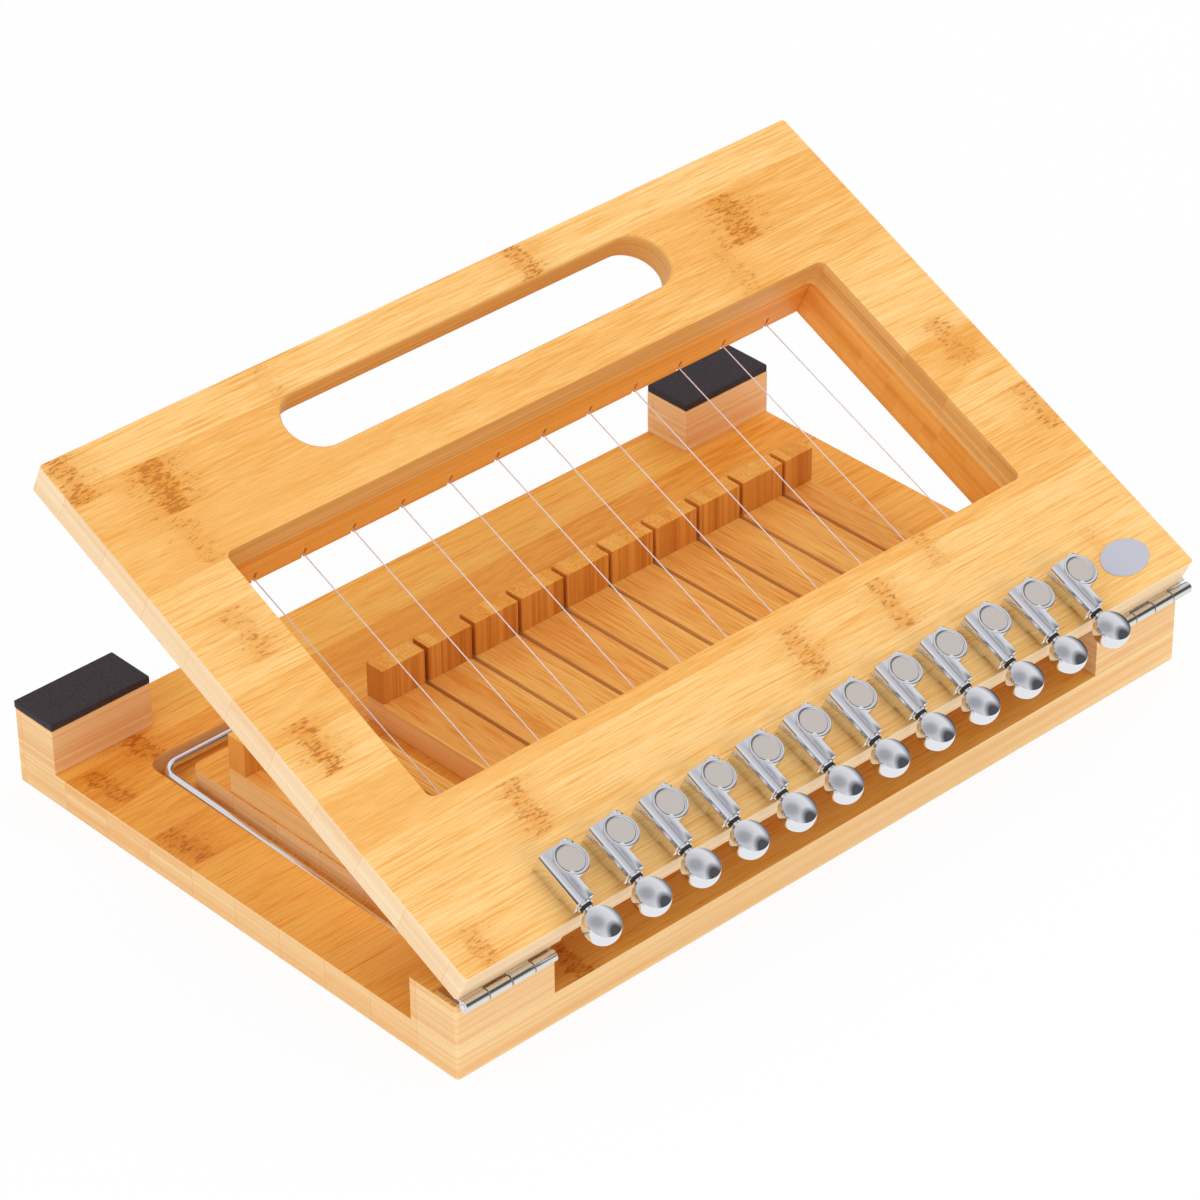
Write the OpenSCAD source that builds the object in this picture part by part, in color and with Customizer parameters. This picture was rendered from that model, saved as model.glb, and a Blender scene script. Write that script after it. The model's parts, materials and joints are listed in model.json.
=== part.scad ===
// Tabletop bar cutter: a board with a tray of two slotted decks, and a hinged
// frame that carries twelve tuned wires. Millimetres, +Z up, +X along the hinge.
// The frame is drawn at the angle it rests at.

/* [Base] */
// length of the base board along the hinge
board_l = 392; // [380:1:404]
// depth of the base board, front to back
board_w = 260; // [252:1:268]
// thickness of the base board
board_t = 14; // [13:0.5:16]
// plan radius of the board corners
board_corner_r = 1.5; // [1:0.5:5]
// length of the two front blocks
front_block_l = 48.3; // [47:0.1:50]
// depth of the two front blocks
front_block_w = 25.3; // [24:0.1:27]
// height of the two front blocks above the board
front_block_h = 19.5; // [19:0.1:19.9]
// length of the two rear blocks
rear_block_l = 49; // [44:0.1:52]
// depth of the two rear blocks
rear_block_w = 23.9; // [20:0.1:26]
// height of the two rear blocks above the board
rear_block_h = 20.4; // [18:0.1:20.6]
// thickness of the foam pads
pad_t = 3.3; // [2:0.1:3.3]
// inset of a foam pad from its block edges
pad_inset = 0; // [0:0.1:2]

/* [Channel] */
// left side of the rod channel, from the left edge
channel_x = 30.5; // [30:0.1:31]
// width of the left leg of the channel
channel_leg_w = 11.5; // [11:0.1:11.9]
// front end of the left leg, from the front edge
channel_front = 40; // [36:1:44]
// rear wall of the channel, from the front edge
channel_rear = 218; // [216.8:0.1:220]
// width of the rear leg of the channel
channel_rear_w = 13.5; // [12:0.1:15]
// right end wall of the channel, from the left edge
channel_end = 121.5; // [115:0.5:128]
// thickness of wood left under the channel
channel_floor = 5; // [4:0.1:5.1]
// router radius of the outer channel corner
channel_r = 7; // [5:0.5:7]
// radius of the inner channel corner
channel_in_r = 5; // [2:0.5:6]

/* [Prop rod] */
// radius of the steel rod
rod_r = 1.95; // [1.8:0.05:2]
// radial running clearance of the rod in its hole
rod_fit = 0.05; // [0.03:0.01:0.08]
// axle line of the rod, from the front edge
rod_y = 214.2; // [213.5:0.1:214.5]
// axle height above the table
rod_z = 10.8; // [10.6:0.1:11]
// arm line of the rod, from the left edge
rod_x = 34.8; // [34.4:0.1:35.4]
// length of the arm from the axle line to its tip
rod_arm = 156; // [150:1:162]
// bend radius of the rod on its centre line
rod_bend = 8; // [6:0.5:10]
// how far the rod goes into its hole
rod_in = 8; // [6:0.5:10]
// droop of the arm below the level
rod_droop = 1.4; // [1.3:0.05:1.4]

/* [Decks] */
// front face of the decks, from the front edge
deck_front = 75; // [74:0.5:80]
// rear face of the decks, from the front edge
deck_rear = 180; // [170:0.5:184]
// height of the decks above the board
deck_h = 11.5; // [9:0.5:13]
// depth of the fence, front to back
fence_w = 9.7; // [8:0.1:12]
// height of the fence above the deck
fence_h = 16; // [12:0.5:18]
// left face of the left deck, from the left edge
left_deck_x0 = 42.7; // [42.6:0.1:44]
// right face of the left deck, from the left edge
left_deck_x1 = 98.4; // [94:0.1:102]
// right face of the left fence, from the left edge
left_fence_x1 = 85.5; // [80:0.1:85.6]
// left face of the right deck, from the left edge
right_deck_x0 = 113.4; // [113:0.1:120]
// right face of the right deck, from the left edge
right_deck_x1 = 353.5; // [350:0.1:353.6]
// width of a wire slot
slot_w = 2; // [1.6:0.1:2.4]
// thickness of deck left under a slot
slot_floor = 3.5; // [2.5:0.1:3.6]

/* [Frame] */
// frame angle above the level at rest
open_angle = 25.1; // [24.6:0.1:25.6]
// length of the panel along the hinge
panel_l = 393; // [390:1:395]
// depth of the panel along its slope
panel_w = 260; // [256:1:262]
// thickness of the panel
panel_t = 14; // [13:0.5:15]
// plan radius of the panel corners
panel_corner_r = 1.5; // [1:0.5:5]
// length of the window
window_l = 317.4; // [316:0.1:319]
// sideways offset of the window centre
window_x = 1; // [0.6:0.1:1.4]
// near side of the window from the near edge
window_v0 = 67.5; // [67:0.1:68]
// far side of the window from the near edge
window_v1 = 193.5; // [192.5:0.1:196]
// corner radius of the window in the panel
window_r = 3.5; // [2:0.5:5]
// depth of the ring below the panel
ring_h = 19.7; // [18:0.1:20]
// width of the near and far ring rails
rail_w = 19.6; // [17:0.1:20.4]
// width of the side ring rails
side_rail_w = 20; // [16:0.1:22]
// length of the handle slot
handle_l = 198.3; // [190:0.5:206]
// width of the handle slot
handle_w = 27.8; // [26:0.1:28]
// sideways offset of the handle slot centre
handle_x = 0.9; // [0:0.1:2]
// handle slot centre line from the near edge
handle_v = 229; // [228.4:0.1:230.6]
// depth of the relief under the near edge
relief_h = 2.5; // [1:0.1:3]
// reach of the relief along the slope
relief_w = 8; // [5:0.5:9]
// half length of the relief
relief_half = 145; // [140:1:146]
// radius of the round label
label_r = 10.9; // [8:0.1:11]
// thickness of the label
label_t = 0.3; // [0.2:0.05:0.4]

/* [Hinges] */
// distance of the hinge axis in front of the board
axis_out = 2.6; // [2.6:0.05:2.9]
// height of the hinge axis above the block tops
axis_up = 1.1; // [1.05:0.05:1.2]
// distance of the panel edge from the hinge axis
edge_gap = 3.1; // [3:0.1:3.5]
// distance of the panel underside above the hinge axis
panel_lift = 1.4; // [1.38:0.01:1.45]
// length of a hinge
hinge_l = 44.8; // [43:0.1:45]
// left end of the left hinge, from the left edge
left_hinge_x = 1.2; // [1:0.1:2]
// left end of the right hinge, from the left edge
right_hinge_x = 350.4; // [349:0.1:351]
// outer radius of the knuckles
knuckle_r = 2.4; // [2.3:0.05:2.5]
// radius of the hinge pins
pin_r = 1.15; // [1:0.05:1.3]
// radial running clearance of a knuckle on its pin
pin_fit = 0.05; // [0.03:0.01:0.08]
// thickness of the hinge leaves
leaf_t = 0.9; // [0.7:0.05:0.9]
// reach of a leaf from the hinge axis
leaf_w = 14.4; // [13:0.1:16]
// end gap between knuckles
knuckle_gap = 0.5; // [0.2:0.05:0.6]

/* [Wires] */
// first wire, from the left edge
wire_x0 = 61.8; // [61.4:0.1:62.2]
// spacing of the wires
pitch = 25; // [24.9:0.05:25.05]
// radius of a wire
wire_r = 0.25; // [0.2:0.05:0.3]
// width of a saw kerf in the rails
kerf_w = 1.4; // [1.2:0.1:1.6]
// depth of a saw kerf in the rails
kerf_h = 6.2; // [6:0.1:7]
// drop of a wire below the axis plane at the near rail
wire_near = 12.5; // [12.5:0.1:13]
// drop of a wire below the axis plane at the far rail
wire_far = 16.6; // [16:0.1:17]

/* [Tuners] */
// tuner post line from the near edge
post_v = 17; // [16.8:0.1:17.4]
// height of a tuner case
case_h = 10; // [10:0.1:10.6]
// radius of the gear bowl
case_r = 7.3; // [7.2:0.1:7.6]
// sideways offset of the worm axis
worm_x = 6.2; // [6.2:0.05:6.4]
// height of the worm axis above the panel
worm_h = 6.2; // [6.1:0.05:6.3]
// radius of the barrel
barrel_r = 3.6; // [3.4:0.05:3.7]
// radius of the worm shaft in the neck
shaft_r = 1.8; // [1.7:0.05:1.8]
// radial running clearance of tuner shafts and posts
turn_fit = 0.05; // [0.03:0.01:0.08]
// radius of a post
post_r = 3; // [2.8:0.05:3.1]
// radius of a button in plan
button_r = 7.6; // [7.3:0.1:8]
// rise of a button's face above its edge
button_crown = 1.5; // [1.2:0.1:1.9]
// radius of a case disc
disc_r = 5.5; // [5.2:0.1:5.8]

/* [Hidden] */
bamboo = [0.87, 0.63, 0.33];
bamboo_pale = [0.93, 0.76, 0.52];
bamboo_dark = [0.74, 0.45, 0.2];
chrome_c = [0.8, 0.81, 0.84];
steel_c = [0.62, 0.62, 0.63];
foam_c = [0.07, 0.07, 0.08];
grey_c = [0.68, 0.66, 0.62];
wires = 12;
eps = 0.05;
axis_y = -board_w / 2 - axis_out;
axis_z = board_t + front_block_h + axis_up;
near_v = edge_gap + window_v0 - rail_w;
near_in = edge_gap + window_v0;
far_in = edge_gap + window_v1;
far_v = far_in + rail_w;
ring_low = panel_lift - ring_h;
top_p = panel_lift + panel_t;
post_s = edge_gap + post_v;
half_l = board_l / 2;
leaf_bore = pin_r + pin_fit;
rod_len = channel_end + rod_in - rod_x;
gear_r = worm_x - shaft_r - 0.1;
tube_r = post_r + 1.8;
coil_h = 23;
button_v = post_v + 9.8;
neck_end = post_v + 0.4;
flat_h = 0.8;
screw_head_r = 2.4;
screw_r = 1.2;
screw_fit = 0.05;
leaf_sx = [8, 22.4, 36.8];
anchor_r = 1.1;
anchor_off = 2.4;
anchor_up = 3;

// places a child measured from the front left corner of the board
module from_corner() {
    translate([-half_l, -board_w / 2, 0]) children();
}

// places a child in the frame: x from the centre, y along the slope, z across it
module on_frame() {
    translate([0, axis_y, axis_z]) rotate([open_angle, 0, 0]) children();
}

// places a child at each wire, measured at the tuner post on the panel top
module each_wire() {
    for (i = [0:wires - 1]) at_wire(i) children();
}

module at_wire(i) {
    on_frame() translate([wire_x0 - half_l + pitch * i, post_s, top_p]) children();
}

module slab(x0, y0, z0, x1, y1, z1) {
    translate([x0, y0, z0]) cube([x1 - x0, y1 - y0, z1 - z0]);
}

// a board with rounded plan corners
module round_board(l, w, t, r) {
    translate([r, 0, 0]) cube([l - 2 * r, w, t]);
    translate([0, r, 0]) cube([l, w - 2 * r, t]);
    for (x = [r, l - r], y = [r, w - r]) translate([x, y, 0]) cylinder(r = r, h = t, $fn = 48);
}

// a straight round bar from a to b
module bar(a, b, r, f) {
    d = b - a;
    n = norm(d);
    translate(a) rotate([0, acos(d[2] / n), atan2(d[1], d[0])]) cylinder(r = r, h = n, $fn = f);
}

// a closed ring of round wire
module ring_wire(big, small) {
    rotate_extrude($fn = 48) translate([big, 0]) circle(r = small, $fn = 16);
}

// a countersunk wood screw, head up at z 0, pointing down
module flat_screw(len) {
    difference() {
        union() {
            translate([0, 0, -1.3]) cylinder(r1 = screw_r, r2 = screw_head_r, h = 1.3, $fn = 32);
            translate([0, 0, -len]) cylinder(r = screw_r, h = len - 1.2, $fn = 32);
        }
        slab(-1.3, -0.25, -0.5, 1.3, 0.25, 0.2);
        slab(-0.25, -1.3, -0.5, 0.25, 1.3, 0.2);
    }
}

// the hole such a screw sits in
module flat_hole(len) {
    translate([0, 0, -1.3 - screw_fit]) cylinder(r1 = screw_r + screw_fit, r2 = screw_head_r + screw_fit + 0.05,
        h = 1.3 + screw_fit + 0.01, $fn = 32);
    translate([0, 0, -len - 0.3]) cylinder(r = screw_r + screw_fit, h = len, $fn = 32);
}

// base

module block_spots() {
    for (x = [12, board_l - 12], y = [12.6, board_w - 12]) translate([x, y, 0]) children();
    for (x = [36, board_l - 36], y = [12.6, board_w - 12]) translate([x, y, 0]) children();
}

module base_board() {
    color(bamboo) from_corner() difference() {
        round_board(board_l, board_w, board_t, board_corner_r);
        rod_channel();
        translate([channel_end - eps, rod_y, rod_z]) rotate([0, 90, 0])
            cylinder(r = rod_r + rod_fit, h = rod_in + 0.6, $fn = 48);
        block_spots() rotate([180, 0, 0]) flat_hole(28);
    }
}

module rod_channel() {
    h = board_t - channel_floor + 1;
    x1 = channel_x + channel_leg_w;
    y0 = channel_rear - channel_rear_w;
    translate([0, 0, channel_floor]) {
        translate([channel_x, channel_front + channel_leg_w / 2, 0])
            cube([channel_leg_w, channel_rear - channel_r - channel_front - channel_leg_w / 2, h]);
        translate([channel_x + channel_leg_w / 2, channel_front + channel_leg_w / 2, 0])
            cylinder(r = channel_leg_w / 2, h = h, $fn = 48);
        translate([channel_x + channel_r, y0, 0]) cube([channel_end - channel_x - channel_r, channel_rear_w, h]);
        translate([channel_x + channel_r, channel_rear - channel_r, 0]) cylinder(r = channel_r, h = h, $fn = 48);
        difference() {
            translate([x1 - eps, y0 - channel_in_r, 0]) cube([channel_in_r + eps, channel_in_r + eps, h]);
            translate([x1 + channel_in_r, y0 - channel_in_r, -1]) cylinder(r = channel_in_r, h = h + 2, $fn = 48);
        }
    }
}

// a block on the board, its outer corner rounded with the board
module block(x0, y0, x1, y1, h) {
    intersection() {
        slab(x0, y0, board_t, x1, y1, board_t + h);
        translate([0, 0, 1]) round_board(board_l, board_w, board_t + h, board_corner_r);
    }
}

module hinge_block(x0) {
    difference() {
        block(x0, 0, x0 + front_block_l, front_block_w, front_block_h);
        block_spots() rotate([180, 0, 0]) flat_hole(28);
        leaf_spots() flat_hole(10);
    }
}

module rear_block(x0) {
    difference() {
        block(x0, board_w - rear_block_w, x0 + rear_block_l, board_w, rear_block_h);
        block_spots() rotate([180, 0, 0]) flat_hole(28);
    }
}

// lower leaf screw places, seen from the front left corner
module leaf_spots() {
    for (x = [left_hinge_x, right_hinge_x], s = leaf_sx)
        translate([x + s, 7, axis_z - axis_up + leaf_t]) children();
}

module left_hinge_block() {
    color(bamboo) from_corner() hinge_block(0);
}

module right_hinge_block() {
    color(bamboo) from_corner() hinge_block(board_l - front_block_l);
}

module left_rear_block() {
    color(bamboo) from_corner() rear_block(0);
}

module right_rear_block() {
    color(bamboo) from_corner() rear_block(board_l - rear_block_l);
}

module foam_pad(x0) {
    z0 = board_t + rear_block_h;
    slab(x0 + pad_inset, board_w - rear_block_w + pad_inset, z0,
        x0 + rear_block_l - pad_inset, board_w - pad_inset, z0 + pad_t);
}

module left_pad() {
    color(foam_c) from_corner() foam_pad(0);
}

module right_pad() {
    color(foam_c) from_corner() foam_pad(board_l - rear_block_l);
}

module block_screws() {
    color(steel_c) from_corner() block_spots() rotate([180, 0, 0]) flat_screw(28);
}

// tray

module slots(x0, x1) {
    for (i = [0:wires - 1]) {
        xs = wire_x0 + pitch * i;
        if (xs > x0 && xs < x1) slab(xs - slot_w / 2, 0, board_t + slot_floor, xs + slot_w / 2, board_w, 80);
    }
}

module deck(x0, x1) {
    difference() {
        slab(x0, deck_front, board_t, x1, deck_rear, board_t + deck_h);
        slots(x0, x1);
    }
}

module fence(x0, x1) {
    difference() {
        slab(x0, deck_rear - fence_w, board_t + deck_h, x1, deck_rear, board_t + deck_h + fence_h);
        slots(x0, x1);
    }
}

module left_deck() {
    color(bamboo) from_corner() deck(left_deck_x0, left_deck_x1);
}

module left_fence() {
    color(bamboo_dark) from_corner() fence(left_deck_x0, left_fence_x1);
}

module right_deck() {
    color(bamboo) from_corner() deck(right_deck_x0, right_deck_x1);
}

module right_fence() {
    color(bamboo_dark) from_corner() fence(right_deck_x0, right_deck_x1);
}

// prop rod

module prop_rod() {
    color(steel_c) from_corner() translate([rod_x, rod_y, rod_z]) rotate([rod_droop, 0, 0]) {
        translate([rod_bend, 0, 0]) rotate([0, 90, 0]) cylinder(r = rod_r, h = rod_len - rod_bend, $fn = 48);
        translate([rod_bend, -rod_bend, 0]) rotate([0, 0, 90])
            rotate_extrude(angle = 90, $fn = 64) translate([rod_bend, 0]) circle(r = rod_r, $fn = 48);
        translate([0, -rod_bend, 0]) rotate([90, 0, 0])
            cylinder(r = rod_r, h = rod_arm - rod_bend - rod_r, $fn = 48);
        translate([0, -rod_arm + rod_r, 0]) sphere(r = rod_r, $fn = 48);
    }
}

// hinges, drawn along x from the hinge axis

module knuckles(first) {
    s = hinge_l / 4;
    for (k = [first, first + 2]) translate([s * k + knuckle_gap / 2, 0, 0]) rotate([0, 90, 0])
        cylinder(r = knuckle_r, h = s - knuckle_gap, $fn = 48);
}

module leaf(first) {
    s = hinge_l / 4;
    translate([0, knuckle_r + 0.4, 0]) cube([hinge_l, leaf_w - knuckle_r - 0.4, leaf_t]);
    for (k = [first, first + 2]) translate([s * k + knuckle_gap / 2, 0, 0])
        cube([s - knuckle_gap, knuckle_r + 1, leaf_t]);
}

module lower_leaf(x0) {
    difference() {
        union() {
            translate([x0, -axis_out, axis_z - axis_up]) leaf(1);
            translate([x0, -axis_out, axis_z]) knuckles(1);
        }
        translate([x0 - 1, -axis_out, axis_z]) rotate([0, 90, 0])
            cylinder(r = pin_r + 0.02, h = hinge_l + 2, $fn = 48);
        leaf_spots() flat_hole(10);
    }
}

module left_lower_leaf() {
    color(chrome_c) from_corner() lower_leaf(left_hinge_x);
}

module right_lower_leaf() {
    color(chrome_c) from_corner() lower_leaf(right_hinge_x);
}

module hinge_pins() {
    color(steel_c) from_corner() for (x = [left_hinge_x, right_hinge_x])
        translate([x + 0.1, -axis_out, axis_z]) rotate([0, 90, 0])
            cylinder(r = pin_r, h = hinge_l - 0.2, $fn = 48);
}

module lower_leaf_screws() {
    color(steel_c) from_corner() leaf_spots() translate([0, 0, -0.02]) flat_screw(10);
}

// upper leaf screw places in the frame
module top_spots() {
    for (x = [left_hinge_x, right_hinge_x], s = leaf_sx)
        translate([x + s - half_l, 9.6, panel_lift - leaf_t]) rotate([180, 0, 0]) children();
}

module upper_leaf(x0) {
    difference() {
        union() {
            translate([x0 - half_l, 0, panel_lift - leaf_t]) leaf(0);
            translate([x0 - half_l, 0, 0]) knuckles(0);
        }
        translate([x0 - half_l - 1, 0, 0]) rotate([0, 90, 0]) cylinder(r = leaf_bore, h = hinge_l + 2, $fn = 48);
        top_spots() flat_hole(10);
    }
}

module left_upper_leaf() {
    color(chrome_c) on_frame() upper_leaf(left_hinge_x);
}

module right_upper_leaf() {
    color(chrome_c) on_frame() upper_leaf(right_hinge_x);
}

module upper_leaf_screws() {
    color(steel_c) on_frame() top_spots() translate([0, 0, -0.02]) flat_screw(10);
}

// frame

module lug_spot() {
    translate([8.4, 8.4, 0]) children();
}

module cutting_panel() {
    color(bamboo) difference() {
        on_frame() difference() {
            translate([-half_l, edge_gap, panel_lift]) round_board(panel_l, panel_w, panel_t, panel_corner_r);
            translate([window_x - window_l / 2, near_in, panel_lift - 1])
                round_board(window_l, far_in - near_in, panel_t + 2, window_r);
            for (s = [-1, 1]) translate([handle_x + s * (handle_l - handle_w) / 2, edge_gap + handle_v, panel_lift - 1])
                cylinder(r = handle_w / 2, h = panel_t + 2, $fn = 64);
            translate([handle_x - (handle_l - handle_w) / 2, edge_gap + handle_v - handle_w / 2, panel_lift - 1])
                cube([handle_l - handle_w, handle_w, panel_t + 2]);
            translate([-relief_half, edge_gap - 1, panel_lift - 1]) cube([2 * relief_half, relief_w + 1, relief_h + 1]);
            top_spots() flat_hole(10);
        }
        each_wire() {
            translate([0, 0, -panel_t - 1]) cylinder(r = tube_r + 0.05, h = panel_t + 2, $fn = 48);
            lug_spot() translate([0, 0, -8.5]) cylinder(r = screw_r + screw_fit, h = 10, $fn = 32);
        }
    }
}

module kerfs(v0, v1) {
    for (i = [0:wires - 1]) translate([wire_x0 - half_l + pitch * i - kerf_w / 2, v0 - 1, ring_low - 1])
        cube([kerf_w, v1 - v0 + 2, kerf_h + 1]);
}

module near_rail() {
    x0 = window_x - window_l / 2 - side_rail_w;
    color(bamboo_pale) on_frame() difference() {
        slab(x0, near_v, ring_low, x0 + window_l + 2 * side_rail_w, near_in, panel_lift);
        kerfs(near_v, near_in);
    }
}

module far_rail() {
    x0 = window_x - window_l / 2 - side_rail_w;
    color(bamboo_pale) on_frame() difference() {
        slab(x0, far_in, ring_low, x0 + window_l + 2 * side_rail_w, far_v, panel_lift);
        kerfs(far_in, far_v);
        anchor_spots() translate([0, 0.1, 0]) rotate([90, 0, 0])
            cylinder(r = anchor_r + screw_fit, h = 9.5, $fn = 32);
    }
}

module side_rail(x0) {
    slab(x0, near_in, ring_low, x0 + side_rail_w, far_in, panel_lift);
}

module left_rail() {
    color(bamboo_pale) on_frame() side_rail(window_x - window_l / 2 - side_rail_w);
}

module right_rail() {
    color(bamboo_pale) on_frame() side_rail(window_x + window_l / 2);
}

module anchor_spots() {
    for (i = [0:wires - 1])
        translate([wire_x0 - half_l + pitch * i + anchor_off, far_v, -wire_far + anchor_up]) children();
}

module wire_anchor_screws() {
    color(steel_c) on_frame() anchor_spots() rotate([-90, 0, 0]) {
        translate([0, 0, -9]) cylinder(r = anchor_r, h = 9 + flat_h, $fn = 32);
        translate([0, 0, 2 * wire_r + 0.15]) cylinder(r = 2.3, h = 1, $fn = 32);
    }
}

// a flat coil sleeve of tightly wound wire
module sleeve(inner, h) {
    difference() {
        cylinder(r = inner + 2 * wire_r + 0.1, h = h, $fn = 48);
        translate([0, 0, -1]) cylinder(r = inner, h = h + 2, $fn = 48);
    }
}

module one_wire(x) {
    rc = post_r - 0.52;
    pc = top_p - coil_h;
    rl = anchor_r + 0.05;
    mid = wire_r + 0.05;
    start = [x + rc + mid, post_s, pc];
    a = [x, near_v - 0.4, -wire_near];
    d = [x, far_v + mid, -wire_far];
    t = [x + anchor_off - rl - mid, far_v + mid, -wire_far + anchor_up];
    translate([x, post_s, pc - 0.4]) sleeve(rc, 1.3);
    bar(start, a, wire_r, 16);
    translate(a) sphere(r = 1.1 * wire_r, $fn = 16);
    bar(a, d, wire_r, 16);
    translate(d) sphere(r = 1.1 * wire_r, $fn = 16);
    bar(d, t, wire_r, 16);
    translate([x + anchor_off, far_v + 2 * mid, -wire_far + anchor_up]) rotate([90, 0, 0]) sleeve(rl, 2 * mid - 0.02);
}

module cutting_wires() {
    color(chrome_c) on_frame() for (i = [0:wires - 1]) one_wire(wire_x0 - half_l + pitch * i);
}

module label_disc() {
    color(grey_c) on_frame() translate([171, edge_gap + 15.8, top_p]) cylinder(r = label_r, h = label_t, $fn = 64);
}

// tuners, drawn from the post centre on the panel top

module barrel_bar(r, v0, v1) {
    translate([-worm_x, v1, worm_h]) rotate([90, 0, 0]) cylinder(r = r, h = v1 - v0, $fn = 48);
}

module housing() {
    difference() {
        union() {
            cylinder(r = case_r, h = case_h, $fn = 64);
            slab(-worm_x, -case_r + 0.6, 0, 0, case_r, case_h);
            slab(-worm_x - barrel_r, -8.4, 0, -worm_x + barrel_r, case_r, worm_h);
            slab(-worm_x - barrel_r, 1.1 - neck_end, 2, -worm_x + barrel_r, -8, worm_h);
            slab(-worm_x, 1.1 - neck_end, worm_h - 1, -worm_x + barrel_r, 0, case_h);
            barrel_bar(barrel_r, 1.1 - neck_end, case_r);
            barrel_bar(barrel_r - 0.3, -neck_end, 1.5 - neck_end);
            rotate([0, 0, 45]) slab(0, -2.9, 0, 11.88, 2.9, 2);
            lug_spot() cylinder(r = 2.9, h = 2, $fn = 48);
        }
        translate([0, 0, -1]) cylinder(r = case_r - 1.4, h = case_h - 1.8 + 1, $fn = 64);
        translate([0, 0, case_h - 2]) cylinder(r = 1.5 + turn_fit, h = 1, $fn = 32);
        translate([0, 0, case_h - 0.6]) cylinder(r = disc_r + 0.05, h = 1, $fn = 64);
        translate([0, 0, case_h - 0.5]) cylinder(r1 = disc_r + 0.1, r2 = disc_r + 0.8, h = 0.6, $fn = 64);
        barrel_bar(shaft_r + 0.3, -7, 5.2);
        barrel_bar(shaft_r + turn_fit, -neck_end - 1, -6);
        barrel_bar(1.2 + turn_fit, 5, 6.6);
        lug_spot() translate([0, 0, -1]) cylinder(r = screw_r + 0.1, h = 4, $fn = 32);
    }
}

module tuner_housings() {
    color(chrome_c) each_wire() housing();
}

module housing_discs() {
    color(grey_c) each_wire() translate([0, 0, case_h - 0.6]) cylinder(r = disc_r, h = 0.5, $fn = 64);
}

module lug_screws() {
    color(chrome_c) each_wire() lug_spot() {
        translate([0, 0, -8]) cylinder(r = screw_r, h = 10.5, $fn = 32);
        translate([0, 0, 2]) cylinder(r = 2.1, h = 0.8, $fn = 32);
        translate([0, 0, 2.8]) cylinder(r1 = 2.1, r2 = 1.2, h = 0.5, $fn = 32);
    }
}

module neck_washers() {
    color(foam_c) each_wire() difference() {
        barrel_bar(2.7, -neck_end - 1, -neck_end);
        barrel_bar(shaft_r + turn_fit, -neck_end - 2, -neck_end + 1);
    }
}

module post_washers() {
    color(chrome_c) each_wire() translate([0, 0, -panel_t - 0.8]) difference() {
        cylinder(r = 6.6, h = 0.8, $fn = 48);
        translate([0, 0, -1]) cylinder(r = tube_r + 0.05, h = 3, $fn = 48);
    }
}

module post_bushings() {
    color(chrome_c) each_wire() difference() {
        union() {
            translate([0, 0, -panel_t - 0.8]) cylinder(r = tube_r, h = 10.8, $fn = 48);
            translate([0, 0, -panel_t - 2.8]) cylinder(r = 6.3, h = 2, $fn = 6);
        }
        translate([0, 0, -panel_t - 4]) cylinder(r = post_r + turn_fit, h = 20, $fn = 48);
    }
}

// a round button: a ball between two flatter domes
module button() {
    top = worm_h - 1.8;
    edge = button_r - 0.4;
    rise = button_crown;
    big = (edge * edge + rise * rise) / (2 * rise);
    intersection() {
        sphere(r = button_r, $fn = 96);
        translate([0, 0, top - big]) sphere(r = big, $fn = 96);
        translate([0, 0, big - top]) sphere(r = big, $fn = 96);
    }
}

module knob(i) {
    color(chrome_c) at_wire(i) {
        translate([-worm_x, -button_v, worm_h]) button();
        barrel_bar(2.3, -button_v + 4, -neck_end - 1.1);
        barrel_bar(shaft_r, -button_v, -6.2);
        barrel_bar(shaft_r - 0.6, -6.5, 4.9);
        for (k = [0:7]) barrel_bar(shaft_r, -4.9 + k * 1.2, -4.3 + k * 1.2);
        barrel_bar(1.2, 4.8, 6.5);
    }
}

module post(i) {
    color(steel_c) at_wire(i) difference() {
        union() {
            translate([0, 0, worm_h - 1.8]) linear_extrude(3.6) polygon([for (k = [0:29])
                let (r = k % 2 == 0 ? gear_r : gear_r - 0.7) [r * cos(12 * k), r * sin(12 * k)]]);
            translate([0, 0, worm_h]) cylinder(r = 1.5, h = case_h - 1.2 - worm_h, $fn = 32);
            translate([0, 0, -coil_h + 1.5]) cylinder(r = post_r, h = coil_h - 1.5 + worm_h - 1, $fn = 48);
            translate([0, 0, -coil_h - 2]) cylinder(r = post_r - 0.6, h = 4, $fn = 48);
            translate([0, 0, -coil_h - 4]) cylinder(r = post_r, h = 2.5, $fn = 48);
        }
        translate([0, 5, -coil_h]) rotate([90, 0, 0]) cylinder(r = 0.6, h = 10, $fn = 24);
    }
}

module knob_01() {
    knob(0);
}

module knob_02() {
    knob(1);
}

module knob_03() {
    knob(2);
}

module knob_04() {
    knob(3);
}

module knob_05() {
    knob(4);
}

module knob_06() {
    knob(5);
}

module knob_07() {
    knob(6);
}

module knob_08() {
    knob(7);
}

module knob_09() {
    knob(8);
}

module knob_10() {
    knob(9);
}

module knob_11() {
    knob(10);
}

module knob_12() {
    knob(11);
}

module post_01() {
    post(0);
}

module post_02() {
    post(1);
}

module post_03() {
    post(2);
}

module post_04() {
    post(3);
}

module post_05() {
    post(4);
}

module post_06() {
    post(5);
}

module post_07() {
    post(6);
}

module post_08() {
    post(7);
}

module post_09() {
    post(8);
}

module post_10() {
    post(9);
}

module post_11() {
    post(10);
}

module post_12() {
    post(11);
}

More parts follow.
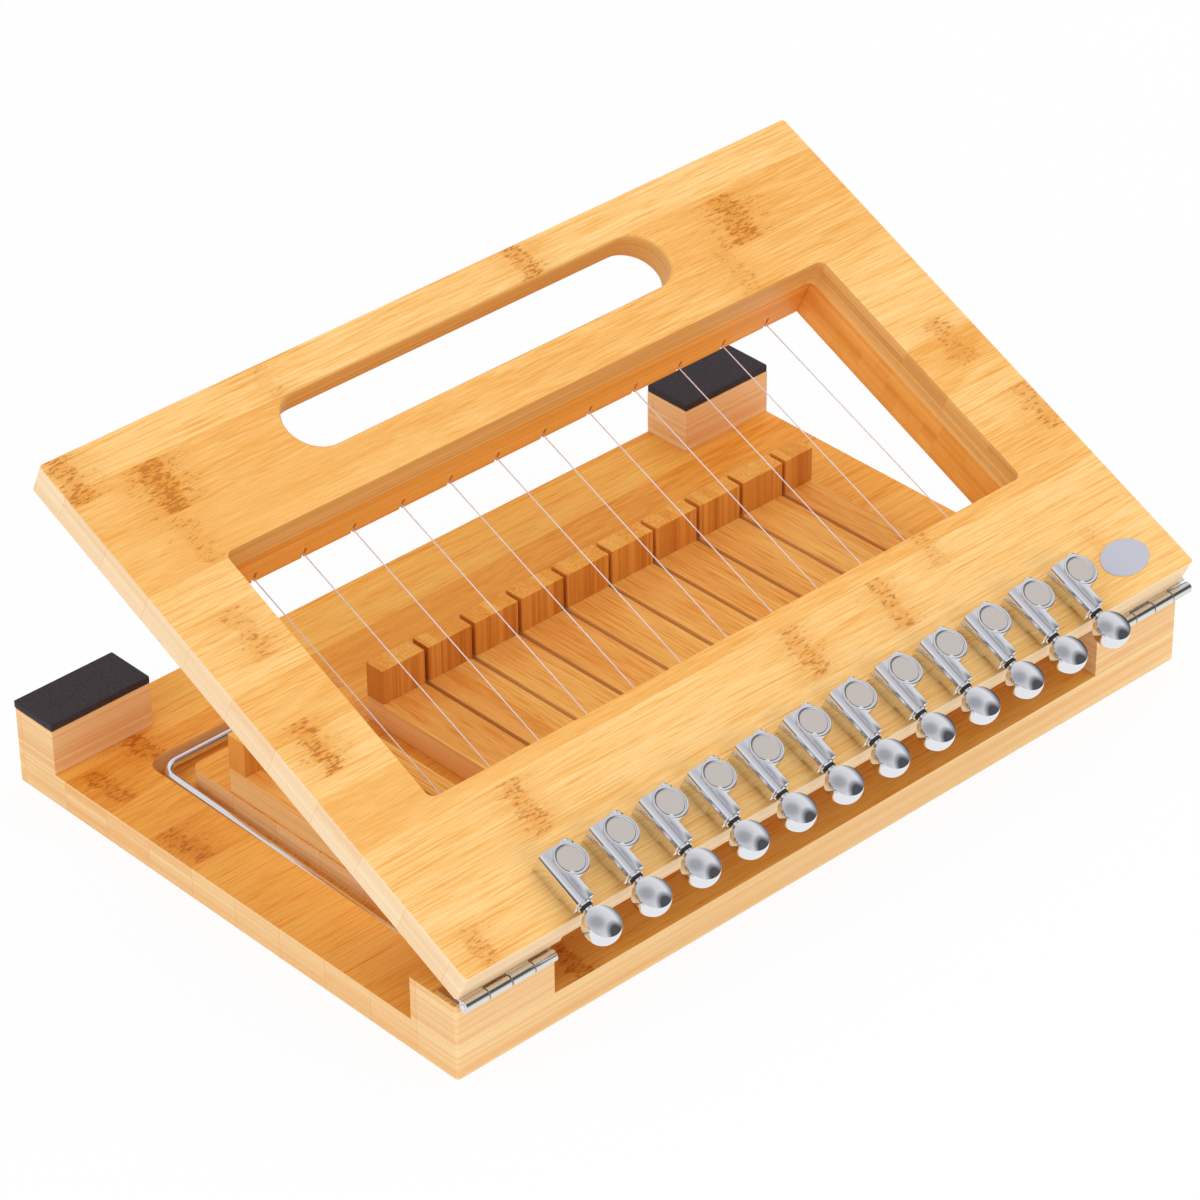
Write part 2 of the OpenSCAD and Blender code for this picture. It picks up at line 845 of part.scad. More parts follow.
base_board();
left_hinge_block();
right_hinge_block();
left_rear_block();
right_rear_block();
left_pad();
right_pad();
block_screws();
left_deck();
left_fence();
right_deck();
right_fence();
prop_rod();
left_lower_leaf();
right_lower_leaf();
hinge_pins();
lower_leaf_screws();
left_upper_leaf();
right_upper_leaf();
upper_leaf_screws();
cutting_panel();
near_rail();
far_rail();
left_rail();
right_rail();
cutting_wires();
wire_anchor_screws();
label_disc();
tuner_housings();
housing_discs();
lug_screws();
neck_washers();
post_washers();
post_bushings();
knob_01();
knob_02();
knob_03();
knob_04();
knob_05();
knob_06();
knob_07();
knob_08();
knob_09();
knob_10();
knob_11();
knob_12();
post_01();
post_02();
post_03();
post_04();
post_05();
post_06();
post_07();
post_08();
post_09();
post_10();
post_11();
post_12();
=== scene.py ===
import json
import math

import bmesh
import bpy
from mathutils import Matrix, Quaternion, Vector


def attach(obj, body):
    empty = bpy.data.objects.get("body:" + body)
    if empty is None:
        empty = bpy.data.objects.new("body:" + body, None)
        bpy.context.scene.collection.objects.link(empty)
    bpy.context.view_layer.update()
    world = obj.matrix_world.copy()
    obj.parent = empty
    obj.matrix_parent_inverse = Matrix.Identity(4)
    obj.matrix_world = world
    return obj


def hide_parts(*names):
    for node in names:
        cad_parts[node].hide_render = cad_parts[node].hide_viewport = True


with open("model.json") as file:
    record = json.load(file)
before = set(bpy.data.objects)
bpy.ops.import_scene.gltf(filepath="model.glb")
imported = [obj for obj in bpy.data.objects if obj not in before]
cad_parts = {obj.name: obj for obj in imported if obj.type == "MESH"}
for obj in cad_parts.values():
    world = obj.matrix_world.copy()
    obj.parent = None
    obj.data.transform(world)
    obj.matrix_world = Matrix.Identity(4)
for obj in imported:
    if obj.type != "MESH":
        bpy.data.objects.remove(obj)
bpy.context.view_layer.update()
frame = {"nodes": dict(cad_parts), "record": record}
nodes = frame["nodes"]

# the cutting frame's tilt and hinge line in metres, as in the CAD
tilt = math.radians(25.1)
hingeAt = Vector((0, -0.1326, 0.0346))
toFrame = Matrix.Translation(hingeAt) @ Matrix.Rotation(tilt, 4, "X")


# shader nodes in few words: an input takes a number, a colour, a socket or a node
class Graph:
    def __init__(self, tree):
        self.tree = tree

    def node(self, kind, *inputs, **settings):
        made = self.tree.nodes.new(kind)
        for name, value in settings.items():
            setattr(made, name, value)
        for i, value in enumerate(inputs):
            self.put(made.inputs[i], value)
        return made

    def put(self, socket, value):
        if value is None:
            return
        if isinstance(value, bpy.types.Node):
            value = value.outputs[0]
        if isinstance(value, bpy.types.NodeSocket):
            self.tree.links.new(value, socket)
        elif socket.type == "RGBA":
            socket.default_value = (*value, 1)
        else:
            socket.default_value = value

    def group(self, name, inputs):
        made = self.node("ShaderNodeGroup")
        made.node_tree = bpy.data.node_groups[name]
        for label, value in inputs.items():
            self.put(made.inputs[label], value)
        return made.outputs

    def math(self, operation, a, b=None):
        return self.node("ShaderNodeMath", a, b, operation=operation).outputs[0]

    def add(self, a, b):
        return self.math("ADD", a, b)

    def times(self, a, b):
        return self.math("MULTIPLY", a, b)

    def larger(self, a, b):
        return self.math("MAXIMUM", a, b)

    def unsigned(self, value):
        return self.math("ABSOLUTE", value)

    # a value between 0 and 1, centred on 0 and weighted
    def swing(self, value, weight):
        return self.times(self.math("SUBTRACT", value, 0.5), weight)

    def vector(self, operation, a, b=None):
        return self.node("ShaderNodeVectorMath", a, b, operation=operation).outputs[0]

    def dot(self, a, b):
        return self.node("ShaderNodeVectorMath", a, b, operation="DOT_PRODUCT").outputs["Value"]

    def parts(self, vector):
        return self.node("ShaderNodeSeparateXYZ", vector).outputs

    def joined(self, x, y, z):
        return self.node("ShaderNodeCombineXYZ", x, y, z)

    def mix(self, factor, a, b):
        made = self.node("ShaderNodeMix", data_type="RGBA", blend_type="MIX")
        self.put(made.inputs[0], factor)
        self.put(made.inputs[6], a)
        self.put(made.inputs[7], b)
        return made.outputs[2]

    def ramp(self, value, stops):
        made = self.node("ShaderNodeValToRGB", value)
        elements = made.color_ramp.elements
        while len(elements) < len(stops):
            elements.new(0.5)
        for element, (place, colour) in zip(elements, stops):
            element.position = place
            element.color = (*colour, 1)
        return made.outputs[0]

    def span(self, value, low, high, outLow=0.0, outHigh=1.0):
        return self.node("ShaderNodeMapRange", value, low, high, outLow, outHigh, clamp=True).outputs[0]

    def noise(self, vector, scale, detail, rough, distortion=0.0):
        inputs = {"Vector": vector, "Scale": scale, "Detail": detail, "Roughness": rough,
                  "Distortion": distortion}
        made = self.node("ShaderNodeTexNoise")
        for label, value in inputs.items():
            self.put(made.inputs[label], value)
        return made.outputs[0]


def newGroup(name, vectors, numbers, outputs):
    tree = bpy.data.node_groups.new(name, "ShaderNodeTree")
    for label in vectors:
        tree.interface.new_socket(label, in_out="INPUT", socket_type="NodeSocketVector")
    for label, value in numbers.items():
        tree.interface.new_socket(label, in_out="INPUT", socket_type="NodeSocketFloat").default_value = value
    for label in outputs:
        tree.interface.new_socket(label, in_out="OUTPUT", socket_type="NodeSocketFloat")
    return Graph(tree), tree.nodes.new("NodeGroupInput").outputs, tree.nodes.new("NodeGroupOutput").inputs


# laminated bamboo in millimetres: x along the grain, strips side by side in y, plies stacked in z
# a stretch scales the coordinates along and across the grain; a noise is its scale, detail and roughness
grain = {
    "strip": 26.0, "ply": 4.7, "slide": 900.0, "seedStep": 7.3, "middle": 0.55, "blocks": 0.3,
    "fine": {"stretch": (0.028, 1.0), "noise": (1.3, 3.0, 0.7), "weight": 1.3},
    "broad": {"stretch": (0.008, 0.14), "noise": (1.0, 2.0, 0.55), "weight": 0.55},
    "lines": {"stretch": (0.03, 1.0), "noise": (1.3, 2.0, 0.55), "cut": (0.54, 0.62), "weight": 0.3},
    "needles": {"stretch": (0.3, 1.0, 1.0), "noise": (1.1, 2.0, 0.5, 0.3), "cut": (0.46, 0.56), "rim": 0.3},
    "layers": {"stretch": 0.006, "noise": (0.42, 3.0, 0.6), "cut": (0.36, 0.64)},
    "stripJoint": (0.488, 0.5), "plyJoint": (0.46, 0.5),
}


def bambooGroup():
    numbers = {"Strip": grain["strip"], "Ply": grain["ply"], "Seed": 0.0, "Cane Nodes": 0.0}
    g, given, result = newGroup("Bamboo", ["Vector"], numbers, ["Tone", "Speckle", "Joint", "Block", "Layer"])
    x, y, z = g.parts(given["Vector"])
    stripAt = g.math("DIVIDE", y, given["Strip"])
    plyAt = g.math("DIVIDE", z, given["Ply"])
    stripNumber = g.add(g.math("FLOOR", stripAt), g.times(given["Seed"], grain["seedStep"]))
    cell = g.joined(stripNumber, g.math("FLOOR", plyAt), given["Seed"])
    oneBlock = g.node("ShaderNodeTexWhiteNoise", cell, noise_dimensions="3D").outputs["Value"]
    slid = g.add(x, g.times(oneBlock, grain["slide"]))  # no two blocks show the same streaks

    def streaks(look):
        along, across = look["stretch"]
        spread = g.joined(g.times(slid, along), g.times(y, across), g.times(z, across))
        return g.noise(spread, *look["noise"])

    def joint(at, reach):
        return g.span(g.unsigned(g.math("SUBTRACT", g.math("FRACT", at), 0.5)), *reach)

    fine, broad, lines = grain["fine"], grain["broad"], grain["lines"]
    tone = g.add(g.swing(streaks(fine), fine["weight"]), g.swing(streaks(broad), broad["weight"]))
    tone = g.math("SUBTRACT", tone, g.times(g.span(streaks(lines), *lines["cut"]), lines["weight"]))
    tone = g.add(tone, g.swing(oneBlock, grain["blocks"]))
    g.put(result["Tone"], g.add(tone, grain["middle"]))

    # dark needles, dense in the middle of a cane node and sparse at its rim
    look = grain["needles"]
    needles = g.noise(g.vector("MULTIPLY", given["Vector"], look["stretch"]), *look["noise"])
    rim = g.math("SUBTRACT", g.math("SQRT", given["Cane Nodes"]), 1.0)
    g.put(result["Speckle"], g.span(g.add(needles, g.times(rim, look["rim"])), *look["cut"]))

    look = grain["layers"]
    level = g.joined(g.add(g.times(x, look["stretch"]), given["Seed"]), g.times(y, look["stretch"]), z)
    g.put(result["Layer"], g.span(g.noise(level, *look["noise"]), *look["cut"]))
    g.put(result["Joint"], g.larger(joint(stripAt, grain["stripJoint"]), joint(plyAt, grain["plyJoint"])))
    g.put(result["Block"], oneBlock)


# one node of the cane: a narrow dark band across one strip, in a softer halo
cane = {"stretch": (0.04, 0.5, 0.5), "noise": (0.5, 3.0, 0.7), "ragged": 1.1, "core": (0.5, 0.25),
        "haloReach": (1.3, 0.2), "halo": 0.6, "side": (1.0, 0.94)}


def caneNodeGroup():
    vectors = ["Vector", "Centre", "Half Size"]
    g, given, result = newGroup("Cane Node", vectors, {"Strength": 1.0, "Before": 0.0}, ["Mask"])
    place = g.vector("SUBTRACT", given["Vector"], given["Centre"])
    x, y, z = g.parts(g.vector("DIVIDE", place, given["Half Size"]))
    ragged = g.noise(g.vector("MULTIPLY", given["Vector"], cane["stretch"]), *cane["noise"])
    along = g.unsigned(g.add(x, g.swing(ragged, cane["ragged"])))
    halo = g.times(g.span(along, *cane["haloReach"]), cane["halo"])
    band = g.larger(g.span(along, *cane["core"]), halo)
    mask = g.times(g.times(band, g.span(g.unsigned(y), *cane["side"])), given["Strength"])
    g.put(result["Mask"], g.larger(mask, given["Before"]))


bambooGroup()
caneNodeGroup()

socketOf = {"base": "Base Color", "metal": "Metallic", "rough": "Roughness", "specular": "Specular IOR Level"}


def newMaterial(name, **values):
    material = bpy.data.materials.new(name)
    material.use_nodes = True
    g = Graph(material.node_tree)
    sockets = material.node_tree.nodes["Principled BSDF"].inputs
    for key, value in values.items():
        g.put(sockets[socketOf[key]], value)
    return material, g, sockets["Base Color"]


# tones of the broad faces are deep, mid and pale, those of the cut edges edgeDeep and edgePale
wood = {"rough": 0.46, "specular": 0.15, "toneStops": (0.15, 0.5, 0.85), "edgeStops": (0.1, 0.8),
        "node": 0.9, "nodeDepth": 1e6, "needleReach": (0.0, 0.7), "needles": (0.2, 0.9), "joint": 0.4,
        "blockShare": 0.25, "toneShare": 0.25, "layerShare": 0.5, "edgeTurn": (0.75, 0.55)}
panelTones = {"deep": (0.82, 0.37, 0.07), "mid": (0.93, 0.53, 0.165), "pale": (0.98, 0.685, 0.295),
              "edgeDeep": (0.91, 0.61, 0.34), "edgePale": (0.97, 0.77, 0.50),
              "node": (0.74, 0.28, 0.03), "needles": (0.44, 0.13, 0.008)}
# painted shade: darker tones for the cut faces inside the panel's window, whose inner walls lie in shade
windowShadeTones = {"edgeDeep": (0.66, 0.33, 0.09), "edgePale": (0.90, 0.55, 0.19)}
# the board's tones are a deeper, more saturated copy of the bamboo, painted shade and warm bounce of the
# board under the panel; the block, deck, rail and fence tones start from them
boardTonesDeepenedForShade = {"deep": (0.76, 0.27, 0.028), "mid": (0.93, 0.44, 0.075), "pale": (0.97, 0.58, 0.14),
              "edgeDeep": (0.88, 0.46, 0.16), "edgePale": (0.97, 0.69, 0.35),
              "node": (0.68, 0.23, 0.02), "needles": (0.42, 0.11, 0.008)}
blockTones = dict(boardTonesDeepenedForShade, edgeDeep=(0.85, 0.45, 0.17), edgePale=(0.97, 0.69, 0.36))
deckTones = dict(boardTonesDeepenedForShade, mid=(0.88, 0.43, 0.10), edgeDeep=(0.78, 0.37, 0.10), edgePale=(0.95, 0.62, 0.26))
# painted shade: the rails' cut faces, mostly the frame's inner walls, are darker and more orange
railShadeTones = dict(boardTonesDeepenedForShade, edgeDeep=(0.78, 0.31, 0.045), edgePale=(0.94, 0.48, 0.11))
# painted shade: the fences' upright faces, which lie in the panel's shade, are much darker
fenceShadeTones = dict(boardTonesDeepenedForShade, edgeDeep=(0.55, 0.17, 0.02), edgePale=(0.82, 0.36, 0.07))


def toneRamp(g, value, stops, tones, names):
    return g.ramp(value, [(place, tones[name]) for place, name in zip(stops, names)])


# place and turn lay the grain on the piece, offset moves its joints; cut faces inside a window take its
# darker tones, painted shade on the window's inner walls
def woodMaterial(name, tones, place=(0, 0, 0), turn=(0, 0, 0), strip=grain["strip"], ply=grain["ply"],
                 seed=0.0, caneNodes=(), offset=(0, 0, 0), window=None):
    material, g, base = newMaterial(name, rough=wood["rough"], specular=wood["specular"])
    coordinates = g.node("ShaderNodeTexCoord")
    mapping = g.node("ShaderNodeMapping", coordinates.outputs["Object"], vector_type="TEXTURE")
    mapping.inputs["Location"].default_value = place
    mapping.inputs["Rotation"].default_value = turn
    millimetres = g.vector("ADD", g.vector("MULTIPLY", mapping, (1000, 1000, 1000)), offset)

    masks = 0.0
    for x, y, half, strength in caneNodes:
        masks = g.group("Cane Node", {"Vector": millimetres, "Centre": (x, y + offset[1], 0),
                                      "Half Size": (half, strip / 2, wood["nodeDepth"]), "Strength": strength,
                                      "Before": masks})["Mask"]
    bamboo = g.group("Bamboo", {"Vector": millimetres, "Strip": strip, "Ply": ply, "Seed": seed,
                                "Cane Nodes": masks})
    colour = toneRamp(g, bamboo["Tone"], wood["toneStops"], tones, ["deep", "mid", "pale"])
    if caneNodes:
        colour = g.mix(g.times(masks, wood["node"]), colour, tones["node"])
        needles = g.times(bamboo["Speckle"], g.span(masks, *wood["needleReach"], *wood["needles"]))
        colour = g.mix(needles, colour, tones["needles"])

    layered = g.add(g.times(bamboo["Block"], wood["blockShare"]), g.times(bamboo["Tone"], wood["toneShare"]))
    layered = g.add(layered, g.times(bamboo["Layer"], wood["layerShare"]))
    edgeNames = ["edgeDeep", "edgePale"]
    edges = toneRamp(g, layered, wood["edgeStops"], tones, edgeNames)
    # painted shade: the cut faces inside the window take the window's darker tones
    if window:
        away = g.parts(g.vector("ABSOLUTE", g.vector("SUBTRACT", millimetres, window["centre"])))
        cut = [g.math("LESS_THAN", away[i], window["half"][i]) for i in range(2)]
        innerShade = toneRamp(g, layered, wood["edgeStops"], window["tones"], edgeNames)
        edges = g.mix(g.times(*cut), edges, innerShade)
    up = Matrix.Rotation(turn[0], 3, "X") @ Vector((0, 0, 1))
    facing = g.unsigned(g.dot(coordinates.outputs["Normal"], tuple(up)))
    colour = g.mix(g.span(facing, *wood["edgeTurn"]), colour, edges)
    colour = g.mix(g.times(bamboo["Joint"], wood["joint"]), colour, tones["deep"])
    g.put(base, colour)
    return material


# the darker cane nodes as (x, y, half length, strength), with the panel's y up the slope from the hinge line
panelNodes = [(-160, 233, 17, 1.0), (-190, 253, 16, 0.7), (-163, 207, 14, 0.45), (-173, 163, 14, 0.5),
              (41, 255, 15, 0.7), (140, 231, 20, 0.9), (122, 208, 14, 0.4), (182, 138, 16, 0.6),
              (193, 95, 14, 0.6), (65, 50, 13, 0.6), (17, 50, 13, 0.6), (99, 66, 12, 0.4), (165, 26, 10, 0.3),
              (-181, 110, 12, 0.8), (-128, 50, 13, 0.6), (-183, 8, 14, 0.5), (-92, 257, 12, 0.3)]
boardNodes = [(-186, 85, 12, 0.8), (-160, 100, 14, 0.8), (-188, 35, 14, 0.8), (-131, -121, 12, 0.8)]
panelWindow = {"centre": (0, 120, 0), "half": (180, 118), "tones": windowShadeTones}  # measured after the offset
quarter = math.radians(90)
woods = {
    "panel": woodMaterial("Bamboo Panel", panelTones, hingeAt, (tilt, 0, 0), seed=3.0, caneNodes=panelNodes,
                          offset=(0, -12.1, -1.4), window=panelWindow),
    "base": woodMaterial("Bamboo Base", boardTonesDeepenedForShade, seed=1.0, caneNodes=boardNodes, offset=(0, 4, 0)),
    "block": woodMaterial("Bamboo Block", blockTones, ply=6.7, seed=5.0, offset=(0, 4, -14)),
    "deck": woodMaterial("Bamboo Deck", deckTones, turn=(0, 0, quarter), strip=18.0, ply=12, seed=8.0,
                         offset=(0, 9, -14)),
    "fence": woodMaterial("Bamboo Fence", fenceShadeTones, turn=(0, quarter, 0), seed=9.0),
    "rail": woodMaterial("Bamboo Rail", railShadeTones, hingeAt, (tilt, 0, 0), strip=8.0, ply=6.6, seed=11.0,
                         offset=(0, 0, 18.4)),
}


foam = {"rough": 0.8, "specular": 0.4, "grit": (1.2, 3.0, 0.7),
        "stops": [(0.3, (0.022, 0.018, 0.021)), (0.7, (0.055, 0.047, 0.056))]}


def foamMaterial():
    material, g, base = newMaterial("Foam", rough=foam["rough"], specular=foam["specular"])
    millimetres = g.vector("MULTIPLY", g.node("ShaderNodeTexCoord").outputs["Object"], (1000, 1000, 1000))
    g.put(base, g.ramp(g.noise(millimetres, *foam["grit"]), foam["stops"]))
    return material


finishes = {
    "foam": foamMaterial(),
    "chrome": newMaterial("Chrome", base=(0.79, 0.80, 0.835), metal=1.0, rough=0.07)[0],
    "satin_disc": newMaterial("Satin Disc", base=(0.49, 0.445, 0.41), rough=0.5)[0],
    "nickel": newMaterial("Nickel", base=(0.75, 0.73, 0.70), metal=1.0, rough=0.16)[0],
    "steel": newMaterial("Steel", base=(0.82, 0.82, 0.84), metal=1.0, rough=0.12)[0],
    "black_plastic": newMaterial("Black Plastic", base=(0.02, 0.02, 0.02), rough=0.5)[0],
    "label_foil": newMaterial("Label Foil", base=(0.50, 0.50, 0.57), rough=0.45)[0],
}
finishes["screw_steel"] = finishes["steel"]
wire = newMaterial("Wire", base=(0.80, 0.77, 0.82), metal=0.25, rough=0.35)[0]
print("materials made")

bodyOf = {name: body for body, names in frame["record"]["behaviour"]["bodies"].items() for name in names}
slotOf = {part["node"]: part["material_slot"] for part in frame["record"]["subparts"]}
woodOf = {"base_board": "base", "cutting_panel": "panel", "left_deck": "deck", "right_deck": "deck",
          "left_fence": "fence", "right_fence": "fence"}


def materialOf(name):
    if name == "cutting_wires":
        return wire
    if slotOf[name] in finishes:
        return finishes[slotOf[name]]
    return woods[woodOf.get(name, "rail" if name.endswith("_rail") else "block")]


def paint(obj, material):
    obj.data.materials.clear()
    obj.data.materials.append(material)


for name, obj in nodes.items():
    paint(obj, materialOf(name))
print("pieces painted")


# an object of its own that stands for a CAD node
def standIn(name, mesh, node):
    obj = bpy.data.objects.new(name, mesh)
    bpy.context.collection.objects.link(obj)
    paint(obj, materialOf(node))
    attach(obj, bodyOf[node])
    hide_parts(node)
    return obj


def bevel(work, edges, width, segments):
    bmesh.ops.bevel(work, geom=edges, offset=width, segments=segments, profile=0.5, affect="EDGES",
                    clamp_overlap=True, material=-1)


def sharpEdges(work, degrees):
    return [e for e in work.edges if len(e.link_faces) == 2 and e.calc_face_angle() > math.radians(degrees)]


# angles in degrees and lengths in metres; the panel has the hand slot's rim rounded first
brokenEdges = {"merge": 1e-6, "flat": 1, "sharp": 40, "segments": 2, "shade": 35,
               "rimSharp": 60, "rimRadius": 0.0022, "rimSegments": 4}


# a CAD piece again with broken edges; onRim tells which points lie on an edge with the wider rounding
def softened(name, width, onRim=None):
    look = brokenEdges
    mesh = nodes[name].data.copy()
    work = bmesh.new()
    work.from_mesh(mesh)
    bmesh.ops.remove_doubles(work, verts=work.verts, dist=look["merge"])
    bmesh.ops.dissolve_limit(work, angle_limit=math.radians(look["flat"]), verts=work.verts, edges=work.edges)
    if onRim:
        rim = [e for e in sharpEdges(work, look["rimSharp"]) if all(onRim(v.co) for v in e.verts)]
        bevel(work, rim, look["rimRadius"], look["rimSegments"])
    bevel(work, sharpEdges(work, look["sharp"]), width, look["segments"])
    for face in work.faces:
        face.smooth = True
    work.to_mesh(mesh)
    work.free()
    obj = standIn(name + "_soft", mesh, name)
    mesh.set_sharp_from_angle(angle=math.radians(look["shade"]))
    modifier = obj.modifiers.new("weighted", "WEIGHTED_NORMAL")
    modifier.keep_sharp = True


# the hand slot in the panel, in metres from the middle of the hinge line, with room around it
handSlot = {"middle": 0.0009, "half": 0.1005, "near": 0.217, "far": 0.247}


def onHandSlot(place):
    x, y, z = toFrame.inverted() @ place
    return abs(x - handSlot["middle"]) < handSlot["half"] and handSlot["near"] < y < handSlot["far"]


softWidth = {"base_board": 0.0007, "left_hinge_block": 0.0004, "right_hinge_block": 0.0004,
             "left_rear_block": 0.0005, "right_rear_block": 0.0005, "left_deck": 0.0003, "right_deck": 0.0003,
             "left_fence": 0.0003, "right_fence": 0.0003, "near_rail": 0.0003, "far_rail": 0.0003,
             "left_rail": 0.0003, "right_rail": 0.0003, "left_pad": 0.0005, "right_pad": 0.0005}
panelWidth = 0.0009
metalWidth = 0.00015
metalPieces = ["left_lower_leaf", "right_lower_leaf", "left_upper_leaf", "right_upper_leaf", "hinge_pins",
               "prop_rod", "neck_washers"]
for name, width in softWidth.items():
    softened(name, width)
softened("cutting_panel", panelWidth, onHandSlot)
for name in metalPieces:
    softened(name, metalWidth)
print("pieces softened")


shadeAngle = 32  # degrees, past which an edge of a modelled piece stays sharp


# a piece on the panel's top, in millimetres: its parts are each a bmesh, joined here at every place
def topPiece(name, makeParts, places, node):
    mesh = bpy.data.meshes.new(name)
    whole = bmesh.new()
    for place in places:
        move = toFrame @ Matrix.Scale(0.001, 4) @ Matrix.Translation(place)
        for work in makeParts():
            bmesh.ops.recalc_face_normals(work, faces=work.faces)
            bmesh.ops.transform(work, matrix=move, verts=work.verts)
            for face in work.faces:
                face.smooth = True
            work.to_mesh(mesh)
            work.free()
            whole.from_mesh(mesh)
    whole.to_mesh(mesh)
    whole.free()
    mesh.set_sharp_from_angle(angle=math.radians(shadeAngle))
    standIn(name, mesh, node)


# first is the first post, from the middle of the hinge line; the rest is measured from each post on the panel
tuner = {
    "first": (-134.2, 20.1, 15.4), "step": 25.0, "count": 12,
    "caseHeight": 10.0, "caseRadius": 7.3, "disc": 5.5, "seat": 0.6, "lip": 0.7, "edge": 0.2,
    "wormX": -6.2, "wormHeight": 6.2, "barrel": 3.6, "neckEnd": -17.4, "webInset": 0.6, "clear": 0.05,
    "lug": 8.4, "lugRadius": 2.9, "lugHeight": 2.0,
    "buttonY": -26.8, "button": 7.6, "domeTop": 4.4, "domeRise": 1.5, "domeTurn": 0.397,
    "crease": 0.4, "belt": 2.82, "stem": 1.8, "collar": 2.3,
    "steps": 96,
}


# a profile of (radius, height) spun round Z, or round Y
def turned(profile, place, steps, axis="Z"):
    work = bmesh.new()
    points = [work.verts.new((radius, 0, height)) for radius, height in profile]
    edges = [work.edges.new(pair) for pair in zip(points, points[1:])]
    bmesh.ops.spin(work, geom=points + edges, angle=2 * math.pi, steps=steps, axis=(0, 0, 1), cent=(0, 0, 0),
                   use_merge=True)
    bmesh.ops.remove_doubles(work, verts=work.verts, dist=1e-4)  # the poles
    if axis == "Y":
        bmesh.ops.rotate(work, verts=work.verts, cent=(0, 0, 0), matrix=Matrix.Rotation(-quarter, 3, "X"))
    bmesh.ops.translate(work, verts=work.verts, vec=place)
    return work


def box(low, high, turn=0.0):
    work = bmesh.new()
    bmesh.ops.create_cube(work, size=1.0)
    bmesh.ops.scale(work, verts=work.verts, vec=[b - a for a, b in zip(low, high)])
    bmesh.ops.translate(work, verts=work.verts, vec=[(a + b) / 2 for a, b in zip(low, high)])
    bevel(work, work.edges[:], tuner["edge"], 2)
    bmesh.ops.rotate(work, verts=work.verts, cent=(0, 0, 0), matrix=Matrix.Rotation(turn, 3, "Z"))
    return work


def arc(radius, start, end, steps):
    angles = [start + (end - start) * i / steps for i in range(steps + 1)]
    return [(radius * math.cos(t), radius * math.sin(t)) for t in angles]


def raised(work, faces, height):
    grown = bmesh.ops.extrude_face_region(work, geom=faces)["geom"]
    corners = [v for v in grown if isinstance(v, bmesh.types.BMVert)]
    bmesh.ops.translate(work, verts=corners, vec=(0, 0, height))


def prism(outline, low, high):
    work = bmesh.new()
    face = work.faces.new([work.verts.new((x, y, low)) for x, y in outline])
    raised(work, [face], high - low)
    return work


def caseParts():
    height, radius, disc, clear = tuner["caseHeight"], tuner["caseRadius"], tuner["disc"], tuner["clear"]
    x, z, barrel, end = tuner["wormX"], tuner["wormHeight"], tuner["barrel"], tuner["neckEnd"]
    lugAt, lug, lugHeight = tuner["lug"], tuner["lugRadius"], tuner["lugHeight"]
    seat, lip = height - tuner["seat"], disc + tuner["lip"]
    drum = [(0, seat), (disc + 0.05, seat), (disc + 0.1, seat + 0.1), (disc + 0.35, height - 0.2),
            (lip, height), (radius - 0.3, height), (radius - 0.1, height - 0.1), (radius, height - 0.35),
            (radius, 0), (0, 0)]
    neck = [(0, end), (barrel - 0.5, end), (barrel - 0.3, end + 0.2), (barrel - 0.3, end + 0.8),
            (barrel - 0.6, end + 0.95), (barrel - 0.6, end + 1.15), (barrel - 0.15, end + 1.2),
            (barrel, end + 1.4)]
    tail = [(barrel, radius - 0.3), (barrel - 0.1, radius - 0.1), (barrel - 0.3, radius), (0, radius)]

    # the webs between drum and barrel follow the side of the drum, a little inside it
    web = radius - tuner["webInset"]
    rear = arc(web, quarter, math.acos(x / web), 12)
    front = [(px, -py) for px, py in rear]
    neckStart = end + 1.1
    return [
        turned(drum, (0, 0, 0), tuner["steps"]),
        turned(neck + tail, (x, 0, z), tuner["steps"] // 2, "Y"),
        prism([(0, radius - 0.04), (x, radius - 0.04)] + rear[::-1], clear, height - 0.02),
        prism([(x, -web)] + front, clear, height - 0.02),
        box((x, neckStart, z - 1), (x + barrel, -4, height - 0.01)),
        box((x - barrel, -8.4, 0), (x + barrel, radius - 0.02, z)),
        box((x - barrel, neckStart, 2), (x + barrel, -8, z)),
        box((0, -lug, 0), (math.hypot(lugAt, lugAt), lug, lugHeight), turn=quarter / 2),
        turned([(0, 0), (lug, 0), (lug, 1.8), (lug - 0.2, lugHeight), (0, lugHeight)], (lugAt, lugAt, 0), 32)]


# two shallow domes on a belt that is part of a sphere, on a stem with a collar
def buttonParts():
    x, y, z = tuner["wormX"], tuner["buttonY"], tuner["wormHeight"]
    radius, top, rise, end = tuner["button"], tuner["domeTop"], tuner["domeRise"], tuner["neckEnd"]
    stem, collar = tuner["stem"], tuner["collar"]
    edge = radius - tuner["crease"]
    big = (edge * edge + rise * rise) / (2 * rise)
    dome = [(r, top - big + h) for r, h in arc(big, quarter, quarter - tuner["domeTurn"], 16)]
    half = dome + arc(radius, math.asin(tuner["belt"] / radius), 0, 8)
    shaft = [(0, y), (stem, y), (stem, y + 4.2), (stem + 0.3, y + 4.2), (collar, y + 4.5),
             (collar, end - 1.3), (stem + 0.3, end - 1.1), (stem, end - 1.1), (stem, end + 2), (0, end + 2)]
    return [turned(half + [(r, -h) for r, h in half[-2::-1]], (x, y, z), tuner["steps"]),
            turned(shaft, (x, 0, z), 48, "Y")]


firstX, row, top = tuner["first"]
posts = [(firstX + tuner["step"] * i, row, top) for i in range(tuner["count"])]
topPiece("tuner_cases", caseParts, posts, "tuner_housings")
for i, post in enumerate(posts, 1):
    topPiece(f"button_{i:02d}", buttonParts, [post], f"knob_{i:02d}")
print("tuners made")

# an oval of foil at the right front corner, in millimetres
label = {"half": (12.4, 8.2), "at": (171.0, 18.9, 15.4), "thick": 0.3, "segments": 96}


